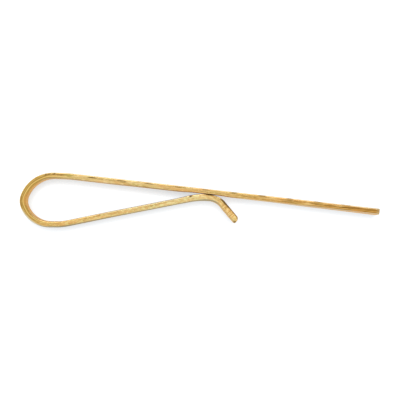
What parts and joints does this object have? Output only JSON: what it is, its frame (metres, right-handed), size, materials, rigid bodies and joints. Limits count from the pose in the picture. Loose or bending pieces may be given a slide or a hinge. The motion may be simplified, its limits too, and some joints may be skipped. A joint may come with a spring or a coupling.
{
  "type": "tie clip",
  "caption": "Slim tie clip: one springy strip bent into a bow, with a straight front bar and a sprung back leg whose crest pinches the cloth against it.",
  "frame": {"origin": "under the middle of the clip's outline, on the surface that its lower side edge rests on", "axes": "+X along the front bar towards its free end, +Y out of the bar's front face, +Z across the width of the strip"},
  "size_m": [0.0508, 0.008, 0.005],
  "materials": {
    "satin_gold": "satin yellow gold, brushed along the strip, with bright rounded edges"
  },
  "bodies": {
    "front": {"front_bar": "satin_gold", "bow_front": "satin_gold"},
    "back": {"bow_back": "satin_gold", "spring_leg": "satin_gold", "grip_bend": "satin_gold", "flared_lip": "satin_gold"}
  },
  "joints": [
    {"name": "leg_flex", "type": "hinge", "parent": "front", "child": "back", "pos_m": [-0.0254, -0.00045, 0.0025], "axis": [0, 0, -1], "range_deg": [0, 8], "stiffness_Nm_per_rad": 1.4}
  ]
}
